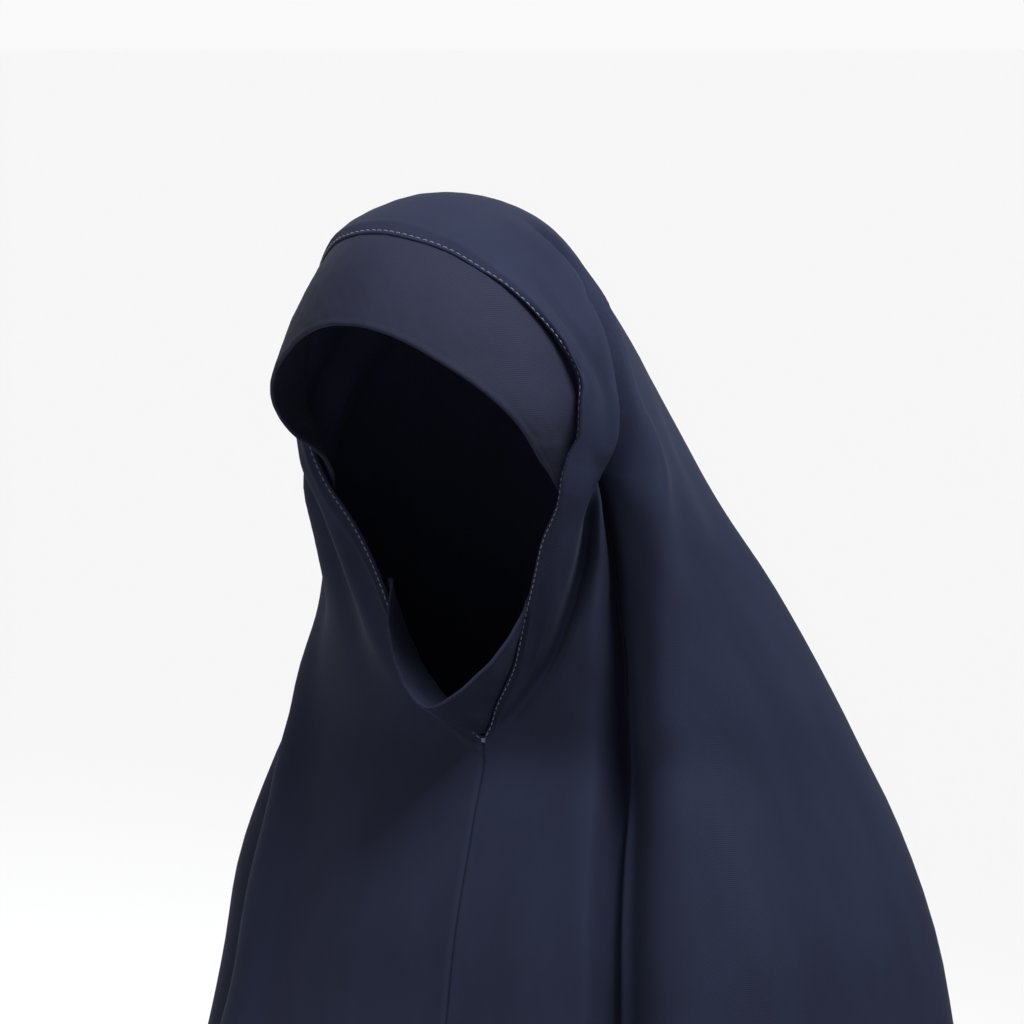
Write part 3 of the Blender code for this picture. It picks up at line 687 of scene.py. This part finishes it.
def make_cape():
    """The hood and cape, with its faced opening, turned hem and the seam down the front."""
    left = fine_flat(1, column_shares(1))
    right = fine_flat(-1, column_shares(-1))
    flat = np.concatenate([left, right[:, -2:0:-1]], axis=1)
    beside = np.concatenate([run_along(hang(left), 1), run_along(hang(right), 1)[:, -2:0:-1]], axis=1)
    outer = hang(flat)
    depth = run_along(outer, 0)
    height = depth[-1:] - depth
    edge_level = pick_up(flat[0])[0] / HOOD_DROP
    # The roll leans over the opening's edge
    lean = np.interp(edge_level, *np.array(LEAN).T)
    lean[left.shape[1]:] *= RIGHT_LEAN
    away = unit(np.gradient(hang(flat, folded=False), axis=0))
    outer = outer - (lean * bell(depth, LEAN_MIDDLE, LEAN_REACH))[..., None] * away
    normals = grid_normals(outer, closed=True)
    rim = np.concatenate([[0], np.cumsum(np.linalg.norm(np.diff(outer[0], axis=0), axis=-1))])
    wave, next_wave = PUCKER_WAVES
    pucker = np.sin(2 * math.pi * rim / wave) + 0.6 * np.sin(2 * math.pi * rim / next_wave + 1)
    brow = 1 - step_up(edge_level, *BROW_LEVELS)
    # The opening: pressed on the band, stitched, and rolled behind its facing
    rise = -BROW_PRESS * brow * (1 - step_up(depth, 0.0, BROW_PRESS_REACH))
    rise -= (STITCH_GROOVE[0] - STITCH_GROOVE_LESS * brow) * bell(depth, EDGE_STITCH, STITCH_GROOVE[1])
    ridge = FACING_RIDGE[0] - FACING_RIDGE_LESS * brow
    rise += ridge * bell(depth, FACING + FACING_RIDGE[1], FACING_RIDGE[2])
    rise += PUCKER[0] * pucker * bell(depth, *PUCKER[1:])
    # The front seam
    rise -= SEAM_GROOVE[0] * bell(beside, 0, SEAM_GROOVE[1])
    rise += SEAM_RIDGE[0] * bell(beside, *SEAM_RIDGE[1:])
    # The turned hem and its stitches
    rise += HEM_RISE * (1 - step_up(height, HEM_TURN - HEM_STEP[0], HEM_TURN + HEM_STEP[1]))
    rise -= HEM_RISE * bell(height, HEM_STITCH, HEM_GROOVE)
    rise += UNEVEN * step_up(depth, *UNEVEN_FROM) * ripple(flat, UNEVEN_SIZE, 0.4)
    outer = outer + rise[..., None] * normals
    normals = grid_normals(outer, closed=True)
    drawn = round_edge(depth, CLOTH / 2) + round_edge(height, CLOTH / 2)
    outer = outer - drawn[..., None] * normals
    wall = CLOTH - 2 * drawn - BROW_THINNER * brow * (1 - step_up(depth, 0.0, BROW_THINNER_REACH))
    wall += HEM_EXTRA * CLOTH * (1 - step_up(height, HEM_TURN - HEM_STEP[0], HEM_TURN + HEM_STEP[0]))
    wall = np.maximum(wall, THINNEST)
    inner = outer - wall[..., None] * normals
    piece = cloth_object("hijab_cape", outer, inner, True, flat)
    return piece, outer, normals


def share_at_drop(side, drop):
    """The share of the way up the opening's edge where it is this far below the crown."""
    shares = np.linspace(0, 1, 400)
    drops = pick_up(face_edge(side, shares))[0]
    return np.interp(-drop, -drops, shares)


def half_band(side, columns):
    """Flat places over half of the brow band, from its end at the temple to the middle of the brow."""
    temple = share_at_drop(side, TEMPLE_DROP)
    shares = np.linspace(temple, 1, columns)
    edge = face_edge(side, shares)
    hem = hem_line(side, shares)
    # The upper margin runs in under the hood
    step = edge + (hem - edge) * 0.01
    length = np.linalg.norm(bare_form(*pick_up(step)) - bare_form(*pick_up(edge)), axis=-1)
    back = edge + (step - edge) * (BAND_UNDER / length)[:, None]
    # The lower edge lies in one slanting plane, from the temple to the brow
    turn = (shares - temple) / (1 - temple) * math.pi / 2
    low_drop = BROW_DROP + (TEMPLE_DROP - BROW_DROP) * (1 - np.sin(turn))
    ahead = BROW_AHEAD + (TEMPLE_AHEAD - BROW_AHEAD) * (1 - np.sin(turn))
    front, widest, _, _, full, _ = section(low_drop)
    place = np.clip((widest + ahead) / (widest - front), 0, 1)
    aside = (1 - place**full) ** (1 / full)
    low = lay_flat(low_drop, side * np.arctan2(aside, place))
    rows = (np.linspace(0, 1, BAND_ROWS + 1) ** BAND_POWER)[:, None, None]
    return low * (1 - rows) + back * rows


def make_band():
    """The brow band: a double strip across the brow, its upper margin under the hood's edge."""
    left = half_band(1, BAND_COLUMNS // 2)
    right = half_band(-1, BAND_COLUMNS // 2)
    flat = np.concatenate([left, right[:, -2::-1]], axis=1)
    outer = hang(flat, folded=False) - (CLOTH + LAYER_GAP) * outward(flat)
    normals = outward(flat)
    depth = run_along(outer, 0)
    end = run_along(outer, 1)
    end = np.minimum(end, end[:, -1:] - end)
    rise = BAND_EDGE[0] * bell(depth, *BAND_EDGE[1:]) - BAND_GROOVE[0] * bell(depth, *BAND_GROOVE[1:])
    rise += BAND_UNEVEN * ripple(flat, BAND_UNEVEN_SIZE, 0.8)
    drawn = round_edge(depth, BAND_CLOTH / 2) + round_edge(end, BAND_CLOTH / 2) * BAND_END
    drawn = np.minimum(drawn, BAND_CLOTH * BAND_DRAWN)
    outer = outer + (rise - drawn)[..., None] * normals
    wall = BAND_CLOTH - 2 * drawn
    inner = outer - wall[..., None] * normals
    return cloth_object("hijab_band", outer, inner, False, flat)


def make_panel():
    """The chin panel: a strip from cheek to cheek under the chin, behind the cape's lower edge."""
    halves = []
    for side in (1, -1):
        shares = np.linspace(share_at_drop(side, PANEL_TOP), 0, PANEL_COLUMNS // 2 + 1)
        length = np.linalg.norm(hang(hem_line(side, shares)) - hang(face_edge(side, shares)), axis=-1)
        # The first and last rows are only there to find which way the cloth faces
        ways = np.array([2 * PANEL_UNDER, PANEL_UNDER, 0, -PANEL_UNDER]) / np.mean(length)
        halves.append(hang(cape_flat(side, shares, ways)))
    cloth = np.concatenate([halves[0], halves[1][:, -2::-1]], axis=1)
    inside = cloth - (CLOTH + PANEL_GAP) * grid_normals(cloth, closed=False)
    corner = inside[2, 0] - np.array([0, PANEL_CORNER, 0])
    turn = np.linspace(math.pi / 2, -math.pi / 2, PANEL_COLUMNS + 1)
    climb = (1 - np.cos(turn)) ** PANEL_POINT
    free = np.stack([
        corner[0] * np.sin(turn),
        -CHIN_AHEAD + (corner[1] + CHIN_AHEAD) * climb,
        -CHIN_DROP + (corner[2] + CHIN_DROP) * climb], axis=-1)
    rows = [inside[1], 0.5 * (inside[1] + inside[2])]
    for share in 1 - np.linspace(1, 0, PANEL_ROWS) ** PANEL_POWER:
        row = inside[2] * (1 - share) + free * share
        sag = PANEL_SAG * math.sin(math.pi * share) * np.cos(turn)
        rows.append(row - sag[:, None] * np.array([0, 0, 1]))
    outer = np.array(rows)
    normals = grid_normals(outer, closed=False)
    depth = run_along(outer, 0)
    height = depth[-1:] - depth
    end = run_along(outer, 1)
    end = np.minimum(end, end[:, -1:] - end)
    across = np.broadcast_to(turn * PANEL_TURN, depth.shape)
    cut = np.stack([across, depth], axis=-1)
    rise = PANEL_EDGE[0] * bell(height, *PANEL_EDGE[1:]) - PANEL_GROOVE[0] * bell(height, *PANEL_GROOVE[1:])
    rise += PANEL_UNEVEN * ripple(cut, PANEL_UNEVEN_SIZE, 0.7) * step_up(end, 0, PANEL_EVEN_END)
    drawn = round_edge(height, PANEL_CLOTH / 2)
    outer = outer + (rise - drawn)[..., None] * normals
    inner = outer - (PANEL_CLOTH - 2 * drawn)[..., None] * normals
    return cloth_object("hijab_chin_panel", outer, inner, False, cut)


def threads(name, starts, ends, normals, rise, sink):
    """Short arched threads, one for each pair of start and end points, in one mesh."""
    rings = THREAD_RINGS
    sides = THREAD_SIDES
    along = np.linspace(0, 1, rings)[None, :, None]
    middle = starts[:, None] * (1 - along) + ends[:, None] * along
    arch = rise * np.sin(math.pi * along) - sink
    middle = middle + arch * normals[:, None]
    way = unit(ends - starts)[:, None, None]
    up = normals[:, None, None]
    aside = np.cross(way, up)
    turn = (np.arange(sides) * 2 * math.pi / sides)[None, None, :, None]
    thin = np.array(THREAD_TAPER)[None, :, None, None] * THREAD / 2
    points = middle[:, :, None] + thin * (np.cos(turn) * aside + np.sin(turn) * up)
    count = len(starts)
    points = points.reshape(-1, 3)
    faces = []
    for k in range(count):
        base = k * rings * sides
        for r in range(rings - 1):
            for s in range(sides):
                a = base + r * sides + s
                b = base + r * sides + (s + 1) % sides
                faces.append((a, b, b + sides, a + sides))
        faces.append(tuple(base + s for s in reversed(range(sides))))
        faces.append(tuple(base + (rings - 1) * sides + s for s in range(sides)))
    mesh = bpy.data.meshes.new(name)
    mesh.from_pydata(points.tolist(), [], faces)
    mesh.shade_smooth()
    mesh.update()
    piece = bpy.data.objects.new(name, mesh)
    bpy.context.scene.collection.objects.link(piece)
    return piece


def stitch_line(name, path, normals):
    """A row of stitches along a closed path."""
    path = np.concatenate([path, path[:1]])
    normals = np.concatenate([normals, normals[:1]])
    run = np.concatenate([[0], np.cumsum(np.linalg.norm(np.diff(path, axis=0), axis=-1))])
    starts = np.arange(STITCH_START, run[-1] - STITCH, STITCH_STEP)
    ends = starts + STITCH

    def at(values, where):
        return np.stack([np.interp(where, run, values[:, k]) for k in range(3)], axis=-1)

    facing = unit(at(normals, starts + STITCH / 2))
    return threads(name, at(path, starts), at(path, ends), facing, *STITCH_ARCH)


def node(tree, kind, **settings):
    """A shader node with its settings."""
    made = tree.nodes.new(kind)
    for key, value in settings.items():
        setattr(made, key, value)
    return made


def cloth_look(name, colour, pitch, slant, grain, bump_depth):
    """Woven cloth: twill lines at a pitch and a slant, a fine grain, faint shading of the dye and sheen."""
    material = bpy.data.materials.new(name)
    material.use_nodes = True
    tree = material.node_tree
    link = tree.links.new
    shader = tree.nodes["Principled BSDF"]
    shader.inputs["Metallic"].default_value = 0
    shader.inputs["Specular IOR Level"].default_value = SHINE
    shader.inputs["Sheen Weight"].default_value = SHEEN
    shader.inputs["Sheen Roughness"].default_value = SHEEN_ROUGHNESS
    shader.inputs["Sheen Tint"].default_value = SHEEN_TINT
    place = node(tree, "ShaderNodeUVMap", uv_map="cut")
    turned = node(tree, "ShaderNodeMapping")
    turned.inputs["Rotation"].default_value = (0, 0, slant)
    link(place.outputs["UV"], turned.inputs["Vector"])
    # Twill lines, a little uneven
    lines = node(tree, "ShaderNodeTexWave", wave_type="BANDS", bands_direction="X", wave_profile="SIN")
    lines.inputs["Scale"].default_value = WAVE_SCALE / pitch
    lines.inputs["Distortion"].default_value = 1.6
    lines.inputs["Detail"].default_value = 2
    lines.inputs["Detail Scale"].default_value = 0.6
    link(turned.outputs["Vector"], lines.inputs["Vector"])
    # Grain of the yarn
    yarn = node(tree, "ShaderNodeTexNoise", noise_dimensions="2D")
    yarn.inputs["Scale"].default_value = 1 / grain
    yarn.inputs["Detail"].default_value = 3
    yarn.inputs["Roughness"].default_value = 0.65
    link(place.outputs["UV"], yarn.inputs["Vector"])
    # Faint shading of the dye
    cloud = node(tree, "ShaderNodeTexNoise", noise_dimensions="2D")
    cloud.inputs["Scale"].default_value = DYE_SCALE
    cloud.inputs["Detail"].default_value = 5
    cloud.inputs["Roughness"].default_value = 0.55
    link(place.outputs["UV"], cloud.inputs["Vector"])
    weave = node(tree, "ShaderNodeMath", operation="MULTIPLY_ADD")
    link(lines.outputs["Fac"], weave.inputs[0])
    weave.inputs[1].default_value = LINE_SHARE
    link(yarn.outputs["Fac"], weave.inputs[2])
    shade = node(tree, "ShaderNodeMapRange")
    shade.inputs["From Min"].default_value = WEAVE_RANGE[0]
    shade.inputs["From Max"].default_value = WEAVE_RANGE[1]
    link(weave.outputs[0], shade.inputs["Value"])
    low, high = (tuple(shade_of * c for c in colour) for shade_of in YARN_SHADES)
    mixed = node(tree, "ShaderNodeMix", data_type="RGBA")
    mixed.inputs["A"].default_value = (*low, 1)
    mixed.inputs["B"].default_value = (*high, 1)
    link(shade.outputs["Result"], mixed.inputs["Factor"])
    dye = node(tree, "ShaderNodeMix", data_type="RGBA", blend_type="MULTIPLY")
    dye.inputs["Factor"].default_value = 1
    tint = node(tree, "ShaderNodeMapRange")
    tint.inputs["From Min"].default_value = 0.3
    tint.inputs["From Max"].default_value = 0.7
    tint.inputs["To Min"].default_value = DYE_SHADES[0]
    tint.inputs["To Max"].default_value = DYE_SHADES[1]
    link(cloud.outputs["Fac"], tint.inputs["Value"])
    link(mixed.outputs["Result"], dye.inputs["A"])
    link(tint.outputs["Result"], dye.inputs["B"])
    link(dye.outputs["Result"], shader.inputs["Base Color"])
    rough = node(tree, "ShaderNodeMapRange")
    rough.inputs["To Min"].default_value = ROUGHNESS[0]
    rough.inputs["To Max"].default_value = ROUGHNESS[1]
    link(yarn.outputs["Fac"], rough.inputs["Value"])
    link(rough.outputs["Result"], shader.inputs["Roughness"])
    relief = node(tree, "ShaderNodeBump")
    relief.inputs["Strength"].default_value = RELIEF
    relief.inputs["Distance"].default_value = bump_depth
    link(weave.outputs[0], relief.inputs["Height"])
    link(relief.outputs["Normal"], shader.inputs["Normal"])
    return material


def thread_look():
    """Polyester sewing thread, a shade lighter than the cloth."""
    material = bpy.data.materials.new("thread_finish")
    material.use_nodes = True
    tree = material.node_tree
    link = tree.links.new
    shader = tree.nodes["Principled BSDF"]
    shader.inputs["Roughness"].default_value = 0.5
    shader.inputs["Sheen Weight"].default_value = 0.3
    place = node(tree, "ShaderNodeTexCoord")
    twist = node(tree, "ShaderNodeTexNoise")
    twist.inputs["Scale"].default_value = THREAD_TWIST
    link(place.outputs["Object"], twist.inputs["Vector"])
    mixed = node(tree, "ShaderNodeMix", data_type="RGBA")
    mixed.inputs["A"].default_value = THREAD_DARK
    mixed.inputs["B"].default_value = THREAD_LIGHT
    link(twist.outputs["Fac"], mixed.inputs["Factor"])
    link(mixed.outputs["Result"], shader.inputs["Base Color"])
    return material


def plain_look(name, colour):
    """An even matt colour, for the floor."""
    material = bpy.data.materials.new(name)
    material.use_nodes = True
    tree = material.node_tree
    shader = tree.nodes["Principled BSDF"]
    shader.inputs["Roughness"].default_value = 0.95
    shader.inputs["Specular IOR Level"].default_value = 0.1
    shader.inputs["Base Color"].default_value = (*colour, 1)
    return material


def area_light(name, place, target, size, power, colour, spread):
    """A soft square light that points at a target."""
    data = bpy.data.lights.new(name, "AREA")
    data.shape = "SQUARE"
    data.size = size
    data.energy = power
    data.color = colour
    data.spread = math.radians(spread)
    light = bpy.data.objects.new(name, data)
    light.location = place
    light.rotation_euler = (Vector(target) - Vector(place)).to_track_quat("-Z", "Y").to_euler()
    light.visible_camera = False
    bpy.context.scene.collection.objects.link(light)
    return light


def place_camera():
    """The camera at the photograph's angle."""
    data = bpy.data.cameras.new("camera")
    data.lens = CAMERA_LENS
    data.sensor_width = 36
    data.clip_end = 1000
    camera = bpy.data.objects.new("camera", data)
    back = Vector(CAMERA_BACK).normalized()
    right = Vector((0, 0, 1)).cross(back).normalized()
    up = back.cross(right)
    turn = Matrix((right, up, back)).transposed().to_4x4()
    camera.matrix_world = Matrix.Translation(CAMERA_PLACE) @ turn
    bpy.context.scene.collection.objects.link(camera)
    bpy.context.scene.camera = camera


def dress(piece, material):
    """Gives a piece its material and lets it ride on the body."""
    piece.data.materials.append(material)
    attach(piece, "root")


cape, cape_outer, cape_normals = make_cape()
band = make_band()
panel = make_panel()

edge_row = int(np.argmin(np.abs(near_runs() - EDGE_STITCH)))
hem_row = len(cape_outer) - len(HEM_ROWS) + HEM_ROWS.index(HEM_STITCH)
edge_stitches = stitch_line("stitches_opening", cape_outer[edge_row], cape_normals[edge_row])
hem_stitches = stitch_line("stitches_hem", cape_outer[hem_row], cape_normals[hem_row])

# The bartack across the top of the front seam
seam = cape_outer[:, 0]
seam_run = np.concatenate([[0], np.cumsum(np.linalg.norm(np.diff(seam, axis=0), axis=-1))])
places = BARTACK_START + BARTACK_STEP * np.arange(BARTACK_ROWS)
tack = np.stack([np.interp(places, seam_run, seam[:, k]) for k in range(3)], axis=-1)
tack = tack + np.array(BARTACK_AHEAD)
half = np.array([BARTACK_WIDTH / 2, 0, 0])
tack_normals = np.tile(unit(np.array(BARTACK_FACING)), (BARTACK_ROWS, 1))
bartack = threads("bartack", tack - half, tack + half, tack_normals, *BARTACK_ARCH)

cape_cloth = cloth_look("cape_finish", *CAPE_LOOK)
band_cloth = cloth_look("band_finish", *BAND_LOOK)
panel_cloth = cloth_look("panel_finish", *PANEL_LOOK)
thread = thread_look()
dress(cape, cape_cloth)
dress(band, band_cloth)
dress(panel, panel_cloth)
for piece in (edge_stitches, hem_stitches, bartack):
    dress(piece, thread)

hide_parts("cape")
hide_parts("brow_band")
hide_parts("chin_panel")

# Stage: a wide pale floor under the hem
floor_mesh = bpy.data.meshes.new("floor")
builder = bmesh.new()
bmesh.ops.create_circle(builder, cap_ends=True, segments=FLOOR_SIDES, radius=FLOOR_RADIUS)
builder.to_mesh(floor_mesh)
builder.free()
floor = bpy.data.objects.new("floor", floor_mesh)
floor.location = (0, 0, cad_box[0][2] - FLOOR_GAP)
floor.data.materials.append(plain_look("floor_finish", FLOOR_COLOUR))
bpy.context.scene.collection.objects.link(floor)

world = bpy.data.worlds.new("studio")
world.use_nodes = True
world.node_tree.nodes["Background"].inputs["Color"].default_value = (1.0, 1.0, 1.0, 1)
world.node_tree.nodes["Background"].inputs["Strength"].default_value = WORLD_LIGHT
bpy.context.scene.world = world

area_light("key", KEY_PLACE, KEY_TARGET, KEY_SIZE, KEY_POWER, KEY_COLOUR, KEY_SPREAD)
place_camera()
bpy.context.scene.view_settings.view_transform = "Standard"
